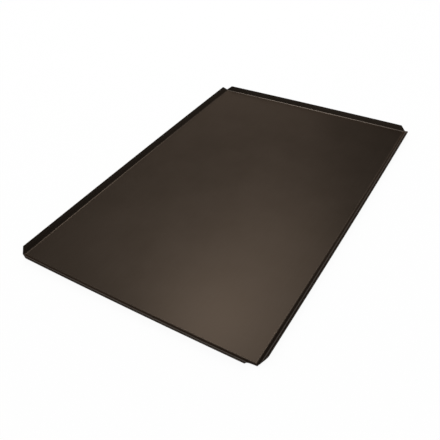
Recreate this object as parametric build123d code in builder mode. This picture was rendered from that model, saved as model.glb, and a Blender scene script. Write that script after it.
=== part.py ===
from build123d import *
from math import cos, radians, sin, tan
import os

# Cookie sheet: one steel blank with its corners cut off, folded up on all sides into
# low flared lips, and a thin baked-on non-stick coating over its whole baking face.
# X runs along the long side, Y along the short side, Z up.
# The origin is the centre of the underside, where the sheet stands.

# Overall size, over the outer edges of the lips
overall_length = 600
overall_width = 400

# Steel
sheet_thickness = 1.2
bend_radius = 4.0  # inside the fold, on the steel
lip_angle = 37  # degrees that each lip is folded up from flat
lip_rise = 7.0  # from the floor up to the lip's top, both on the steel's baking face

# Corners: the lips meet in a short mitre at the root, then stand apart in an open notch
corner_root = 3.4  # from the folds out to where the notch begins
corner_setback = 7.0  # along a side, from the fold line's end back to the lip's tip
tip_radius = 1.0

# Coating
coating_thickness = 0.05

cut_overrun = 5.0

# The folded section, worked out from the sizes above
steel_top = sheet_thickness
coating_top = steel_top + coating_thickness
fold_centre = steel_top + bend_radius
lip_angle_sin = sin(radians(lip_angle))
lip_angle_cos = cos(radians(lip_angle))
lip_slant = (lip_rise - bend_radius * (1 - lip_angle_cos)) / lip_angle_sin
lip_reach = fold_centre * lip_angle_sin + lip_slant * lip_angle_cos
floor_length = overall_length - 2 * lip_reach
floor_width = overall_width - 2 * lip_reach

# The corner notch, along and up the flat of a lip, measured from where its fold begins
notch_top = bend_radius * lip_angle_sin + lip_slant
notch_bottom = bend_radius * lip_angle_sin + (corner_root - bend_radius * lip_angle_sin) / lip_angle_cos
notch_slope = (notch_top - notch_bottom) / (corner_root + corner_setback)


# A layer of the sheet is what lies between two heights on its floor. Bent round the
# same fold centre, it keeps its thickness all the way up the lip.
def folded_lip(half_side, half_across, layer_bottom, layer_top):
    outer_radius = fold_centre - layer_bottom
    inner_radius = fold_centre - layer_top
    lip_direction = (lip_angle_cos, lip_angle_sin)
    centre = (half_across, fold_centre)
    with BuildPart() as lip:
        # Section across the side: fold, then straight lip, closed by the cut edge
        with BuildSketch(Plane.YZ):
            with BuildLine():
                below = CenterArc(centre, outer_radius, -90, lip_angle)
                under_lip = Line(below @ 1, below @ 1 + Vector(lip_direction) * lip_slant)
                above = CenterArc(centre, inner_radius, -90, lip_angle)
                over_lip = Line(above @ 1, above @ 1 + Vector(lip_direction) * lip_slant)
                Line(under_lip @ 1, over_lip @ 1)
                Line(below @ 0, above @ 0)
            make_face()
        extrude(amount=half_side + lip_reach, both=True)

        # Mitre at 45 degrees in plan, where this lip would meet its neighbours
        with BuildSketch():
            with BuildLine():
                Polyline(
                    (-half_side, half_across),
                    (half_side, half_across),
                    (half_side + lip_reach, half_across + lip_reach),
                    (-half_side - lip_reach, half_across + lip_reach),
                    close=True,
                )
            make_face()
        extrude(amount=fold_centre + lip_rise + cut_overrun, mode=Mode.INTERSECT)

        # Notched ends, cut square to the lip's face as the shear left them in the blank
        lip_plane = Plane(
            origin=(0, half_across, steel_top),
            x_dir=(1, 0, 0),
            z_dir=(0, -lip_angle_sin, lip_angle_cos),
        )
        tip = half_side - corner_setback
        foot = half_side + corner_root + cut_overrun
        foot_height = notch_bottom - cut_overrun * notch_slope
        below_fold = foot_height - sheet_thickness - cut_overrun
        with BuildSketch(lip_plane) as blank_edge:
            with BuildLine():
                Polyline(
                    (-foot, below_fold),
                    (foot, below_fold),
                    (foot, foot_height),
                    (tip, notch_top),
                    (-tip, notch_top),
                    (-foot, foot_height),
                    close=True,
                )
            make_face()
            fillet(blank_edge.vertices().group_by(Axis.Y)[-1], radius=tip_radius)
        extrude(amount=fold_centre + cut_overrun, both=True, mode=Mode.INTERSECT)
    return lip.part


# Steel sheet: floor and lips in one piece
steel_long_lip = folded_lip(floor_length / 2, floor_width / 2, 0, steel_top)
steel_short_lip = folded_lip(floor_width / 2, floor_length / 2, 0, steel_top)

with BuildPart() as steel_sheet:
    with BuildSketch():
        Rectangle(floor_length, floor_width)
    extrude(amount=sheet_thickness)
    with PolarLocations(0, 2):
        add(steel_long_lip)
    with PolarLocations(0, 2, start_angle=90):
        add(steel_short_lip)
steel_sheet.part.label = "steel_sheet"

# Non-stick coating: follows the floor, the folds and the lips up to the cut edges
coating_long_lip = folded_lip(floor_length / 2, floor_width / 2, steel_top, coating_top)
coating_short_lip = folded_lip(floor_width / 2, floor_length / 2, steel_top, coating_top)

with BuildPart() as nonstick_coating:
    with BuildSketch(Plane.XY.offset(steel_top)):
        Rectangle(floor_length, floor_width)
    extrude(amount=coating_thickness)
    with PolarLocations(0, 2):
        add(coating_long_lip)
    with PolarLocations(0, 2, start_angle=90):
        add(coating_short_lip)
nonstick_coating.part.label = "nonstick_coating"

os.makedirs("parts", exist_ok=True)
export_step(steel_sheet.part, "parts/steel_sheet.step")
export_step(nonstick_coating.part, "parts/nonstick_coating.step")
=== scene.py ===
from math import cos, pi, radians, sin

import bpy
import numpy as np
from mathutils import Matrix, Vector


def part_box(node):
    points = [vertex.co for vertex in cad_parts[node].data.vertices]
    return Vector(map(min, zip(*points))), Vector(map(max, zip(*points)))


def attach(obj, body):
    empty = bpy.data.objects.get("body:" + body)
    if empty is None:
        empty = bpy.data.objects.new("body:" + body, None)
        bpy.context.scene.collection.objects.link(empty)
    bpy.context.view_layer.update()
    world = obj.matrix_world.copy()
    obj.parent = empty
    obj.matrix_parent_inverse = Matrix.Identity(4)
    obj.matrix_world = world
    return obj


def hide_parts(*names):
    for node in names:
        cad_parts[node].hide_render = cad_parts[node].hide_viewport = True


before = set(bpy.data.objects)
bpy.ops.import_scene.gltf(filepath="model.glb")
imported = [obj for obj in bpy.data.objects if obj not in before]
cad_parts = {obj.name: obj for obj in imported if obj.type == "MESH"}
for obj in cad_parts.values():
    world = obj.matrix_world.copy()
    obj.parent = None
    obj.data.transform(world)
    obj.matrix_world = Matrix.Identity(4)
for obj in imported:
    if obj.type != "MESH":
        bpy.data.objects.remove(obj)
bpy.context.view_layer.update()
print("frame loaded:", sorted(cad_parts))


# camera, at the photograph's viewpoint

cameraPlace = {
    "azimuth": -56.85,     # degrees round the sheet, 0 looks along +Y
    "elevation": 40.23,    # degrees above the table
    "roll": -3.16,         # degrees, the picture leans a little
    "distance": 0.8046,    # metres, to the point it looks at
    "lookAt": (-0.0886, -0.0194, 0.0),
    "lens": 42.82,         # mm
    "sensorWidth": 36,     # mm
}


def addCamera(place):
    turn, lift, roll = (radians(place[k]) for k in ("azimuth", "elevation", "roll"))
    back = Vector((sin(turn) * cos(lift), -cos(turn) * cos(lift), sin(lift)))
    right = (-back).cross(Vector((0, 0, 1))).normalized()
    up = right.cross(-back)
    rolledRight = right * cos(roll) + up * sin(roll)
    rolledUp = up * cos(roll) - right * sin(roll)
    data = bpy.data.cameras.new("camera")
    data.sensor_width = place["sensorWidth"]
    data.lens = place["lens"]
    camera = bpy.data.objects.new("camera", data)
    bpy.context.collection.objects.link(camera)
    axes = Matrix((rolledRight, rolledUp, back)).transposed()
    stand = Vector(place["lookAt"]) + back * place["distance"]
    camera.matrix_world = Matrix.Translation(stand) @ axes.to_4x4()
    bpy.context.scene.camera = camera


addCamera(cameraPlace)
bpy.context.scene.view_settings.view_transform = "Standard"
print("camera set")


# small helpers for node trees

def newMaterial(name):
    material = bpy.data.materials.new(name)
    material.use_nodes = True
    material.node_tree.nodes.clear()
    return material, material.node_tree


def addNode(tree, kind, inputs=None, **settings):
    node = tree.nodes.new(kind)
    for key, value in settings.items():
        setattr(node, key, value)
    for key, value in (inputs or {}).items():
        if isinstance(value, bpy.types.NodeSocket):
            tree.links.new(value, node.inputs[key])
        else:
            node.inputs[key].default_value = value
    return node


def doMath(tree, operation, first, second):
    return addNode(tree, "ShaderNodeMath", {0: first, 1: second}, operation=operation).outputs[0]


def remap(tree, value, low, high, toLow=0.0, toHigh=1.0, smooth=False):
    kind = "SMOOTHSTEP" if smooth else "LINEAR"
    inputs = {"Value": value, "From Min": low, "From Max": high, "To Min": toLow, "To Max": toHigh}
    return addNode(tree, "ShaderNodeMapRange", inputs, interpolation_type=kind).outputs["Result"]


def mixColor(tree, share, first, second):
    # Of a Mix node's inputs, 0 is the share, and 6 and 7 are the two colours
    node = addNode(tree, "ShaderNodeMix", data_type="RGBA")
    for socket, value in ((node.inputs[0], share), (node.inputs[6], first), (node.inputs[7], second)):
        if isinstance(value, bpy.types.NodeSocket):
            tree.links.new(value, socket)
        else:
            socket.default_value = value
    return node.outputs[2]


def addNoise(tree, place, scale, detail, roughness, distortion=0.0):
    inputs = {"Vector": place, "Scale": scale, "Detail": detail, "Roughness": roughness}
    inputs["Distortion"] = distortion
    return addNode(tree, "ShaderNodeTexNoise", inputs).outputs["Fac"]


def addShare(tree, first, second, share):
    return doMath(tree, "ADD", first, doMath(tree, "MULTIPLY", second, share))


def stretched(tree, place, scale):
    return addNode(tree, "ShaderNodeMapping", {"Vector": place, "Scale": scale}).outputs["Vector"]


# non-stick coating

coatingLook = {
    "brown": (0.065, 0.049, 0.037, 1),      # flats
    "deepBrown": (0.055, 0.041, 0.030, 1),  # mottling
    "paintedFoldHighlight": (0.150, 0.125, 0.105, 1),  # painted highlight along the folds
    "paintedLipHighlight": (0.130, 0.120, 0.108, 1),     # painted highlight in a line along the lips' faces
    "metallic": (0.96, 0.2),                # of the film, and where the lips' painted highlight is
    "grazing": (1.0, 0.86, 0.77, 1),        # stays brown at a grazing view
    "ior": 1.45,
    "roughness": (0.32, 0.36),
    "roughRange": (0.2, 1.3),    # of mottling and grain, from the smooth to the rough end
    "mottleScale": 14,           # patches per metre
    "toneRange": (0.45, 0.9),    # of mottling and roll marks, from deepBrown to brown
    "rollStretch": (1, 22, 1),   # roll marks run along X
    "rollShare": 0.35,
    "grainScale": 900,           # grains of the baked film per metre
    "grainShare": 0.5,           # in the roughness
    "grainHeight": 0.00001,      # metres
    "grainStrength": 0.35,
}


def coatingMaterial(look):
    material, tree = newMaterial("nonstickCoating")
    place = addNode(tree, "ShaderNodeTexCoord").outputs["Object"]
    rolled = stretched(tree, place, look["rollStretch"])
    mottle = addNoise(tree, place, look["mottleScale"], detail=4, roughness=0.6)
    rollMarks = addNoise(tree, rolled, look["mottleScale"], detail=3, roughness=0.6)
    grain = addNoise(tree, place, look["grainScale"], detail=3, roughness=0.6)
    tone = remap(tree, addShare(tree, mottle, rollMarks, look["rollShare"]), *look["toneRange"])
    foldHighlightShare = addNode(tree, "ShaderNodeAttribute", attribute_name="foldHighlightTone").outputs["Fac"]
    paintedLipHighlight = addNode(tree, "ShaderNodeAttribute", attribute_name="lipHighlightTone").outputs["Fac"]
    color = mixColor(tree, tone, look["deepBrown"], look["brown"])
    # painted highlights: lighter colour along the folds, and in a line along the lips' faces, which is
    # also less metallic
    color = mixColor(tree, foldHighlightShare, color, look["paintedFoldHighlight"])
    color = mixColor(tree, paintedLipHighlight, color, look["paintedLipHighlight"])
    metallic = remap(tree, paintedLipHighlight, 0, 1, *look["metallic"])
    uneven = addShare(tree, tone, grain, look["grainShare"])
    roughness = remap(tree, uneven, *look["roughRange"], *look["roughness"])
    bump = addNode(tree, "ShaderNodeBump", {
        "Height": grain, "Strength": look["grainStrength"], "Distance": look["grainHeight"],
    })
    shader = addNode(tree, "ShaderNodeBsdfPrincipled", {
        "Base Color": color, "Metallic": metallic, "Roughness": roughness,
        "IOR": look["ior"], "Specular Tint": look["grazing"], "Normal": bump.outputs["Normal"],
    })
    addNode(tree, "ShaderNodeOutputMaterial", {"Surface": shader.outputs["BSDF"]})
    return material


# blackened steel

steelLook = {
    "black": (0.050, 0.042, 0.036, 1),       # oxide
    "brownBlack": (0.072, 0.054, 0.042, 1),  # thinner oxide, in clouds
    "bareAndHighlight": (0.12, 0.10, 0.085, 1),          # worn crest of the cut edge, lightened further as a painted highlight
    "paintedCutShade": (0.012, 0.010, 0.009, 1),       # painted shade on the face of the cut
    "metallic": 0.9,
    "ior": 1.5,
    "roughness": (0.32, 0.42),
    "roughRange": (0.6, 1.4),    # of mill grain and clouds, from the smooth to the rough end
    "cloudScale": 9,             # clouds per metre
    "toneRange": (0.45, 0.85),   # of clouds and mill grain, from black to brownBlack
    "millScale": 160,            # mill grain lines per metre
    "millStretch": (0.05, 1, 1),  # they run along X
    "millShare": 0.25,           # in the tone
    "millHeight": 0.00002,       # metres
    "millStrength": 0.3,
    "wearScale": 260,            # worn spots per metre on the cut edge
    "wearRange": (0.32, 0.62),   # of the spots, from the least to the most worn
    "wear": (0.4, 1.0),          # how much of the bare, highlighted crest colour shows at those two ends
}


def steelMaterial(look):
    material, tree = newMaterial("blackenedSteel")
    place = addNode(tree, "ShaderNodeTexCoord").outputs["Object"]
    milled = stretched(tree, place, look["millStretch"])
    clouds = addNoise(tree, place, look["cloudScale"], detail=5, roughness=0.62, distortion=0.6)
    mill = addNoise(tree, milled, look["millScale"], detail=4, roughness=0.7)
    spots = addNoise(tree, place, look["wearScale"], detail=3, roughness=0.65)
    tone = remap(tree, addShare(tree, clouds, mill, look["millShare"]), *look["toneRange"])
    oxide = mixColor(tree, tone, look["black"], look["brownBlack"])
    edge = addNode(tree, "ShaderNodeAttribute", attribute_name="edgeWearHighlightShade").outputs["Fac"]
    wear = remap(tree, spots, *look["wearRange"], *look["wear"])
    # worn spots on the crest, with a painted highlight added to them
    wornAndHighlight = doMath(tree, "MULTIPLY", remap(tree, edge, 0, 1), wear)
    # the face of the cut is darkened as painted shade
    paintedCutShade = remap(tree, edge, 0, -1)
    color = mixColor(tree, wornAndHighlight, mixColor(tree, paintedCutShade, oxide, look["paintedCutShade"]), look["bareAndHighlight"])
    uneven = doMath(tree, "ADD", mill, clouds)
    roughness = remap(tree, uneven, *look["roughRange"], *look["roughness"])
    bump = addNode(tree, "ShaderNodeBump", {
        "Height": mill, "Strength": look["millStrength"], "Distance": look["millHeight"],
    })
    shader = addNode(tree, "ShaderNodeBsdfPrincipled", {
        "Base Color": color, "Metallic": look["metallic"], "Roughness": roughness,
        "IOR": look["ior"], "Normal": bump.outputs["Normal"],
    })
    addNode(tree, "ShaderNodeOutputMaterial", {"Surface": shader.outputs["BSDF"]})
    return material


# folded sheet: the shape that steel and coating share

sheetShape = {
    "thickness": 0.0012,
    "foldRadius": 0.004,        # inside the fold, on the baking face of the steel
    "lipAngle": radians(37),
    "lipRise": 0.007,           # floor to lip top, on the baking face
    "edgeRadius": 0.00055,      # the cut edge is deburred
    "sideBow": 0.0013,          # how far a side's middle stands out past its ends
    "coatingThickness": 0.00005,
    "coatingInset": 0.00055,    # the film ends where the edge turns down
    "coatingTaper": 3,          # film thicknesses over which its edge thins out
    "notchSlope": 1.1,          # a notch's usual way along the side for each step up the lip
    "notchLean": 1.49,          # the diagonal of notchSlope and 1
    "leastTip": 0.0001,         # radius that stays on a tip when a layer is drawn in
}

# How strongly each lip gets a painted highlight, along its fold and in a line along its face.
# The line's place is a value of the lip's parameter, as lipPoints has it.
lipMarks = {
    "back": {"foldHighlight": 0.1, "lipHighlight": 0.06},
    "left": {"foldHighlight": 0.1, "lipHighlight": 1.25},
    "front": {"foldHighlight": 0.1, "lipHighlight": 0.95},
    "right": {"foldHighlight": 0.9, "lipHighlight": 0.06},
}
lipHighlightLine = {"middle": 2.65, "halfWidth": 0.2}

# The corners were snipped by hand, each a little differently. The root is how far out from the
# folds the two lips meet. Each lip then has its tip's distance back from the fold's end, the
# notch's curve, 1 for a straight cut and more for a squarer end, and the tip's radius.
sheetCorners = {
    "backLeft": {"root": 0.0039, "back": (0.0048, 1.0, 0.0006), "left": (0.0102, 1.1, 0.0026)},
    "backRight": {"root": 0.0032, "back": (0.0006, 1.0, 0.0004), "right": (0.0045, 1.0, 0.0004)},
    "frontRight": {"root": 0.0034, "right": (0.0056, 1.0, 0.0006), "front": (0.0040, 1.3, 0.0034)},
    "frontLeft": {"root": 0.0037, "front": (0.0110, 0.75, 0.0020), "left": (0.0084, 6.0, 0.0010)},
}

# Each lip, its quarter turn as cosine and sine, and the corners at its start and end
sheetLips = (
    ("back", (1, 0), "backLeft", "backRight"),
    ("left", (0, 1), "frontLeft", "backLeft"),
    ("front", (-1, 0), "frontRight", "frontLeft"),
    ("right", (0, -1), "backRight", "frontRight"),
)

steelLow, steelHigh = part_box("steel_sheet")


def sheetSizes(shape):
    # The section from the frame's outer size inwards: reach is how far the lip goes out
    # past the line where its fold begins, slant is the length of its straight part.
    angle, fold = shape["lipAngle"], shape["foldRadius"]
    slant = (shape["lipRise"] - fold * (1 - cos(angle))) / sin(angle)
    reach = (fold + shape["thickness"]) * sin(angle) + slant * cos(angle)
    return {"slant": slant, "halfLength": steelHigh[0] - reach, "halfWidth": steelHigh[1] - reach}


sizes = sheetSizes(sheetShape)


def lipEnd(shares, root, cut, inset, depth):
    # One end of a lip: for each share, the way run up the section and how far the lip goes past
    # the fold's end. Up to the root that is the 45 degree mitre, so as far as the section goes out.
    # From the root to the tip it falls by 1 - (1 - u) to the power of the notch's curve, with u
    # from 0 to 1 up the slant, and then by a quarter circle round the tip.
    angle, fold, slant = sheetShape["lipAngle"], sheetShape["foldRadius"], sizes["slant"]
    setback, curve, tipRadius = cut
    slope, leanRoot = sheetShape["notchSlope"], sheetShape["notchLean"]
    foldFlat = fold * sin(angle)
    drawnIn = (depth * sin(angle) + leanRoot * inset) / (cos(angle) + slope)
    rootRun = (root - foldFlat) / cos(angle) - drawnIn
    rootPast = foldFlat + rootRun * cos(angle) + depth * sin(angle)
    lean = (1 + ((setback + root) / slant / max(curve, 1)) ** 2) ** 0.5
    tipPast = -setback - inset * lean
    tipRound = tipRadius - min(inset, tipRadius - sheetShape["leastTip"])
    edge = slant - inset

    arc = fold * angle
    quarter = np.clip(shares - 3, 0, 1) * pi / 2
    run = np.interp(shares, (0, 1, 2, 3), (0, arc, arc + rootRun, arc + edge - tipRound))
    run = run + tipRound * np.sin(quarter)
    turn = np.minimum(run / fold, angle)
    straight = np.maximum(run - arc, 0)
    mitre = (fold + depth) * np.sin(turn) + straight * cos(angle)
    rise = np.clip((straight - rootRun) / (slant - rootRun), 0, 1)
    notch = rootPast + (tipPast - rootPast) * (1 - (1 - rise) ** curve)
    return run, np.where(shares <= 2, mitre, notch - tipRound * (1 - np.cos(quarter)))


def lipPoints(shares, across, halfSide, halfAcross, ends, inset, depth):
    # Points of one lip, as (along the side, out from the middle, up). The first parameter
    # runs from 0 at the fold's start, over 1 at its end, 2 at the corner's root and 3 where
    # the tip's rounding begins, to 4 at the cut edge. The second runs from -1 to 1 along the
    # side, between the lip's two ends. A point is the section's point, an arc and then a
    # straight line, moved along the section's normal by depth.
    angle, fold = sheetShape["lipAngle"], sheetShape["foldRadius"]
    lipEnds = [lipEnd(shares, root, cut, inset, depth) for root, cut in ends]
    (startRun, startPast), (endRun, endPast) = lipEnds
    share = (across[None, :] + 1) / 2
    run = startRun[:, None] * (1 - share) + endRun[:, None] * share
    along = (endPast[:, None] + halfSide) * share - (startPast[:, None] + halfSide) * (1 - share)
    turn = np.minimum(run / fold, angle)
    straight = np.maximum(run - fold * angle, 0)
    out = halfAcross + (fold + depth) * np.sin(turn) + straight * cos(angle)
    up = sheetShape["thickness"] + fold - (fold + depth) * np.cos(turn) + straight * sin(angle)
    return np.stack((along, out, up), -1)


# How finely the grids are cut: how many points along the long and the short sides, with the
# lead of the point next to each end, and how many over a lip's fold, its notch and its tip
gridSteps = {
    "long": (61, 0.002),
    "short": (41, 0.003),
    "fold": 10,
    "beforeRoot": (1.2, 1.6),   # values of the lip's parameter
    "notch": 9,
    "tip": 7,
}


def stations(count, lead):
    # Even steps from -1 to 1 with one more close to each end, so that shading stays flat up
    # to the fold.
    return np.concatenate(((-1, -1 + lead), np.linspace(-1, 1, count)[1:-1], (1 - lead, 1)))


lipShares = np.concatenate((
    np.linspace(0, 1, gridSteps["fold"]), gridSteps["beforeRoot"],
    np.linspace(2, 3, gridSteps["notch"]), np.linspace(3, 4, gridSteps["tip"])[1:],
))
alongLong, alongShort = stations(*gridSteps["long"]), stations(*gridSteps["short"])
keysPerMetre = 1e6   # points closer than about a micrometre are one


def sheetFace(inset, depth):
    # One face of the folded sheet as five grids: the floor, flat at one height, and four lips,
    # each turned by its quarter turn about Z. Then X and Y grow by their share of the half side
    # times the bow times 1 - the square of the other's share, so the sides bow like parabolas.
    length, width = sizes["halfLength"], sizes["halfWidth"]
    x, y = np.meshgrid(alongLong * length, alongShort * width, indexing="ij")
    grids = [np.stack((x, y, np.full_like(x, sheetShape["thickness"] - depth)), -1)]
    for side, (c, s), start, end in sheetLips:
        across, halves = (alongLong, (length, width)) if c else (alongShort, (width, length))
        ends = [(sheetCorners[corner]["root"], sheetCorners[corner][side]) for corner in (start, end)]
        lip = lipPoints(lipShares, across, *halves, ends, inset, depth)[:, ::-1]
        grids.append(lip @ np.array(((c, s, 0), (-s, c, 0), (0, 0, 1))))
    for grid in grids:
        shares = grid[..., :2] / (length, width)
        grid[..., :2] += sheetShape["sideBow"] * shares * (1 - shares[..., ::-1] ** 2)
    return grids


def gridFaces(rows, columns, start):
    # The quads between neighbouring points of a grid, whose points are numbered row by row
    # from start.
    corner = start + np.arange(rows - 1)[:, None] * columns + np.arange(columns - 1)[None, :]
    return np.stack((corner, corner + columns, corner + columns + 1, corner + 1), -1).reshape(-1, 4)


def sheetPiece(name, rim):
    # A closed piece from the first to the last of rim, which lists (inset, depth, tone): both of
    # its faces are grids, and its cut edge is the rim's profile carried along the lips' outlines.
    layers = [sheetFace(inset, depth) for inset, depth, _ in rim]
    tones = [tone for *_, tone in rim]
    rootRow = int(np.searchsorted(lipShares, 2))
    # The fold's painted highlight is a half wave of the parameter from 0 to 1, and the painted
    # highlight line on the lip's face falls evenly to nothing on both sides of its middle, each times
    # the lip's mark.
    inFold = np.sin(np.clip(lipShares, 0, 1) * pi)
    inLipHighlight = np.clip(1 - abs(lipShares - lipHighlightLine["middle"]) / lipHighlightLine["halfWidth"], 0, 1)
    points, quads, marks, start = [], [], [], 0

    def addGrid(grid, turned, *gridTones):
        nonlocal start
        size = grid.shape[:2]
        faces = gridFaces(*size, start)
        quads.append(faces[:, ::-1] if turned else faces)
        points.append(grid.reshape(-1, 3))
        marks.append(np.stack([np.broadcast_to(tone, size).reshape(-1) for tone in gridTones]))
        start += size[0] * size[1]

    for layer, turned in ((layers[0], False), (layers[-1], True)):
        addGrid(layer[0], turned, 0, 0, 0)
        for grid, (side, *_) in zip(layer[1:], sheetLips):
            # painted highlights along each lip's fold and in a line on its face
            foldHighlight, lipHighlight = lipMarks[side]["foldHighlight"] * inFold, lipMarks[side]["lipHighlight"] * inLipHighlight
            addGrid(grid, turned, 0, foldHighlight[:, None], lipHighlight[:, None])
    for side in range(1, 5):
        outlines = [np.concatenate((
            layer[side][rootRow:, 0], layer[side][-1, 1:-1], layer[side][rootRow:, -1][::-1],
        )) for layer in layers]
        addGrid(np.stack(outlines), False, np.asarray(tones)[:, None], 0, 0)

    points, quads, marks = np.concatenate(points), np.concatenate(quads), np.concatenate(marks, 1)
    keys = np.round(points * keysPerMetre).astype(np.int64)
    _, first, same = np.unique(keys, axis=0, return_index=True, return_inverse=True)
    mesh = bpy.data.meshes.new(name)
    mesh.from_pydata(points[first], [], same.reshape(-1)[quads])
    for attribute, values in zip(("edgeWearHighlightShade", "foldHighlightTone", "lipHighlightTone"), marks):
        mesh.attributes.new(attribute, "FLOAT", "POINT").data.foreach_set("value", values[first])
    mesh.polygons.foreach_set("use_smooth", np.ones(len(quads), bool))
    mesh.update()
    piece = bpy.data.objects.new(name, mesh)
    bpy.context.collection.objects.link(piece)
    return piece


def edgeProfile(radius, thickness, steps=6):
    # A quarter circle from the baking face, the plain edge, and a quarter circle to the underside.
    # The tone is 1 round the upper circle's middle, where the crest is worn bare and lightened further
    # as a painted highlight, and falls to -1 on the face of the cut, darkened as painted shade, and
    # back to 0 at the underside.
    turn = np.linspace(0, pi / 2, steps + 1)
    share = turn / turn[-1]
    crestShares, crestTones = (0, 0.25, 0.6, 1), (0, 1, 1, -1)
    crest = np.interp(share, crestShares, crestTones)
    nearArc, farArc = radius * (1 - np.sin(turn)), radius * (1 - np.cos(turn))
    upper = np.stack((nearArc, farArc, crest), -1)
    lower = np.stack((farArc, thickness - nearArc, share - 1), -1)
    return np.concatenate((upper, lower))


steelRim = edgeProfile(sheetShape["edgeRadius"], sheetShape["thickness"])
steelSheet = sheetPiece("steelSheet", steelRim)
steelSheet.data.materials.append(steelMaterial(steelLook))
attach(steelSheet, "root")
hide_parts("steel_sheet")
print("steel sheet folded:", len(steelSheet.data.polygons), "faces")

film, rimInset = sheetShape["coatingThickness"], sheetShape["coatingInset"]
coatingRim = [(rimInset + sheetShape["coatingTaper"] * film, -film, 0), (rimInset, 0, 0)]
nonstickCoating = sheetPiece("nonstickCoating", coatingRim)
nonstickCoating.data.materials.append(coatingMaterial(coatingLook))
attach(nonstickCoating, "root")
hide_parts("nonstick_coating")
print("coating laid on:", len(nonstickCoating.data.polygons), "faces")


# table, studio and light

studio = {
    "tableSize": 8.0,           # metres across
    "tableGap": 0.0003,         # below the sheet
    "tableColor": (0.98, 0.98, 0.98, 1),
    "shadowShare": 0.06,        # how much of the table's own shading shows through its white
    "ambient": 0.8,             # what dull surfaces get from all round
    # What satin surfaces mirror: the levels of the room, and the ends of the fades between
    # them. A fade runs over a direction's height, or over its share towards the far side,
    # both from -1 to 1.
    "dimRoom": 0.030,           # beside and above the sheet
    "backRoom": 0.2,            # on the far side, seen from the camera
    "backFade": (0.19, 0.54),
    "backFoot": 0.1,            # share of it that is left at the height of the table
    "backFootFade": (0.05, 0.35),
    "frontRoom": 0.5,           # behind the camera, and low on the walls beside it
    "frontFade": (-0.3, -0.95),
    "wallFade": (0.3, -0.15),
    "wallTopFade": (0.6, 0.2),
    "crownRoom": 0.7,           # straight above
    "crownFade": (0.96, 0.995),
    "backHeading": 33,          # degrees from +X
    "lampDistance": 1.8,        # metres from the origin
    "lamps": (                  # heading and lift in degrees, size in metres, glow 1 looks white
        {"name": "highBox", "heading": 22.6, "lift": 55.1, "size": (0.57, 1.01), "glow": 1.52},
        {"name": "topBox", "heading": 43.5, "lift": 59.7, "size": (0.39, 0.15), "glow": 9.5},
        {"name": "sideBox", "heading": 58.3, "lift": 45.0, "size": (0.92, 0.56), "glow": 0.57},
        {"name": "lowBox", "heading": 32.5, "lift": 19.1, "size": (1.04, 0.6), "glow": 0.35},
    ),
}


def rayIsSeen(tree):
    # 1 for rays that show the background: straight to the camera, mirrored or seen through
    path = addNode(tree, "ShaderNodeLightPath").outputs
    seen = doMath(tree, "MAXIMUM", path["Is Camera Ray"], path["Is Glossy Ray"])
    return doMath(tree, "MAXIMUM", seen, path["Is Transmission Ray"])


def addTable(look):
    half = look["tableSize"] / 2
    mesh = bpy.data.meshes.new("table")
    corners = np.array(((-1, -1, 0), (1, -1, 0), (1, 1, 0), (-1, 1, 0))) * (half, half, 0)
    mesh.from_pydata(corners - (0, 0, look["tableGap"]), [], [(0, 1, 2, 3)])
    table = bpy.data.objects.new("table", mesh)
    bpy.context.collection.objects.link(table)
    material, tree = newMaterial("paleTable")
    shaded = addNode(tree, "ShaderNodeBsdfDiffuse", {"Color": look["tableColor"]}).outputs["BSDF"]
    glow = {"Color": (1, 1, 1, 1), "Strength": 1.0}
    white = addNode(tree, "ShaderNodeEmission", glow).outputs["Emission"]
    share = doMath(tree, "MULTIPLY", rayIsSeen(tree), 1 - look["shadowShare"])
    top = addNode(tree, "ShaderNodeMixShader", {0: share, 1: shaded, 2: white}).outputs["Shader"]
    under = addNode(tree, "ShaderNodeBsdfTransparent").outputs["BSDF"]
    fromBelow = addNode(tree, "ShaderNodeNewGeometry").outputs["Backfacing"]
    surface = addNode(tree, "ShaderNodeMixShader", {0: fromBelow, 1: top, 2: under}).outputs["Shader"]
    addNode(tree, "ShaderNodeOutputMaterial", {"Surface": surface})
    mesh.materials.append(material)


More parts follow.
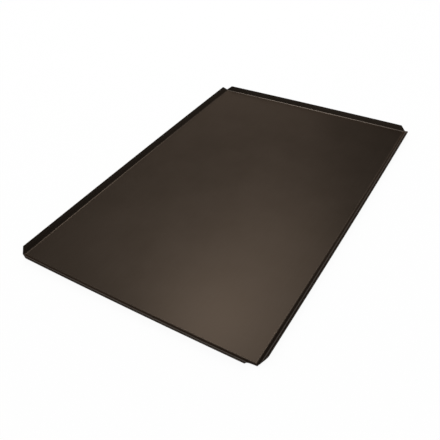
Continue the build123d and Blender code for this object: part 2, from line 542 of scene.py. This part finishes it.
def addStudio(look):
    # The room is the far side's level, lower at its foot, plus the crown above and the front,
    # which is the brighter of what lies behind the camera and of the low walls.
    world = bpy.data.worlds.new("studio")
    bpy.context.scene.world = world
    world.use_nodes = True
    tree = world.node_tree
    tree.nodes.clear()
    path = addNode(tree, "ShaderNodeLightPath").outputs
    heading = radians(look["backHeading"])
    direction = addNode(tree, "ShaderNodeTexCoord").outputs["Generated"]
    toBack = addNode(tree, "ShaderNodeVectorMath", {0: direction, 1: (cos(heading), sin(heading), 0.0)},
                     operation="DOT_PRODUCT").outputs["Value"]
    upward = addNode(tree, "ShaderNodeSeparateXYZ", {0: direction}).outputs["Z"]

    def fade(value, ends, *levels):
        return remap(tree, value, *ends, *levels, smooth=True)

    farSide = fade(toBack, look["backFade"], look["dimRoom"], look["backRoom"])
    farSide = doMath(tree, "MULTIPLY", farSide, fade(upward, look["backFootFade"], look["backFoot"], 1))
    walls = fade(upward, look["wallTopFade"])
    walls = doMath(tree, "MULTIPLY", walls, fade(toBack, look["wallFade"]))
    front = doMath(tree, "MAXIMUM", walls, fade(toBack, look["frontFade"]))
    crown = fade(upward, look["crownFade"], 0, look["crownRoom"])
    room = doMath(tree, "ADD", farSide, addShare(tree, crown, front, look["frontRoom"]))
    mirrored = doMath(tree, "MAXIMUM", path["Is Glossy Ray"], path["Is Transmission Ray"])
    # Of a Mix node's inputs, 0 is the share, and 2 and 3 are the two values
    level = addNode(tree, "ShaderNodeMix", {0: mirrored, 2: look["ambient"], 3: room}).outputs[0]
    level = addNode(tree, "ShaderNodeMix", {0: path["Is Camera Ray"], 2: level, 3: 1.0}).outputs[0]
    background = addNode(tree, "ShaderNodeBackground", {"Color": (1, 1, 1, 1), "Strength": level})
    addNode(tree, "ShaderNodeOutputWorld", {"Surface": background.outputs["Background"]})


def addLamp(look, distance):
    heading, lift = radians(look["heading"]), radians(look["lift"])
    toward = Vector((cos(heading) * cos(lift), sin(heading) * cos(lift), sin(lift)))
    data = bpy.data.lights.new(look["name"], "AREA")
    data.shape = "RECTANGLE"
    data.size, data.size_y = look["size"]
    data.energy = look["glow"] * pi * data.size * data.size_y
    lamp = bpy.data.objects.new(look["name"], data)
    bpy.context.collection.objects.link(lamp)
    turned = toward.to_track_quat("Z", "Y").to_matrix().to_4x4()
    lamp.matrix_world = Matrix.Translation(toward * distance) @ turned
    lamp.visible_camera = False


addTable(studio)
addStudio(studio)
for lamp in studio["lamps"]:
    addLamp(lamp, studio["lampDistance"])
print("studio lit")
